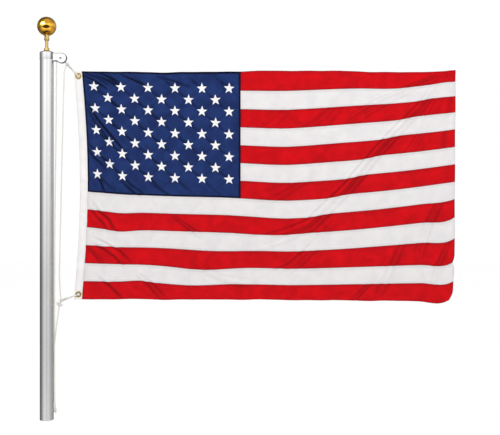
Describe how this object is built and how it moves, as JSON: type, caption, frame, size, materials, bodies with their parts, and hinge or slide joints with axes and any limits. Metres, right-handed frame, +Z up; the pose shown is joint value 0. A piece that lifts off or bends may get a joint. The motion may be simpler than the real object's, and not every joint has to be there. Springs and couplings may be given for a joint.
{
  "type": "flagpole top section with ball finial, truck, halyard and flag",
  "caption": "Aluminium flagpole section with a fork truck, gilt ball finial, rope halyard through a sheave, and a sewn flag of striped cloth with a starred canton held by brass grommets.",
  "frame": {"origin": "centre of the pole's open foot, on the plane of its end face", "axes": "+Z up the pole, +X from the pole to the flag's fly end, the flag's front seen from -Y"},
  "size_m": [1.6761, 0.0762, 1.6146],
  "materials": {
    "pole": "satin drawn tube",
    "casting": "bright polished casting",
    "sheave": "moulded nylon",
    "pin": "stainless",
    "gilt": "polished and gold anodised",
    "canvas": "heavy white canvas, sewn",
    "grommet": "bright brass",
    "blue_cloth": "dyed nylon with embroidered stars",
    "red_cloth": "dyed nylon",
    "white_cloth": "white nylon",
    "rope": "braided white line"
  },
  "bodies": {
    "mast": {"pole_tube": "pole", "truck": "casting", "axle": "pin", "lock_nut": "gilt", "spindle": "gilt", "collar": "gilt", "ball": "gilt", "header": "canvas", "grommet_top": "grommet", "grommet_bottom": "grommet", "canton": "blue_cloth", "stripe_01": "red_cloth", "stripe_02": "white_cloth", "stripe_03": "red_cloth", "stripe_04": "white_cloth", "stripe_05": "red_cloth", "stripe_06": "white_cloth", "stripe_07": "red_cloth", "stripe_08": "white_cloth", "stripe_09": "red_cloth", "stripe_10": "white_cloth", "stripe_11": "red_cloth", "stripe_12": "white_cloth", "stripe_13": "red_cloth", "halyard_over_sheave": "rope", "halyard_flag_fall": "rope", "halyard_tail_fall": "rope", "halyard_top_loop": "rope", "halyard_bottom_loop": "rope", "halyard_upper_knot": "rope", "halyard_lower_knot": "rope", "halyard_foot_knot": "rope"},
    "sheave": {"sheave": "sheave"}
  },
  "joints": [
    {"name": "sheave_spin", "type": "hinge", "parent": "mast", "child": "sheave", "pos_m": [0.0568, 0, 1.4485], "axis": [0, 1, 0], "continuous": true}
  ]
}
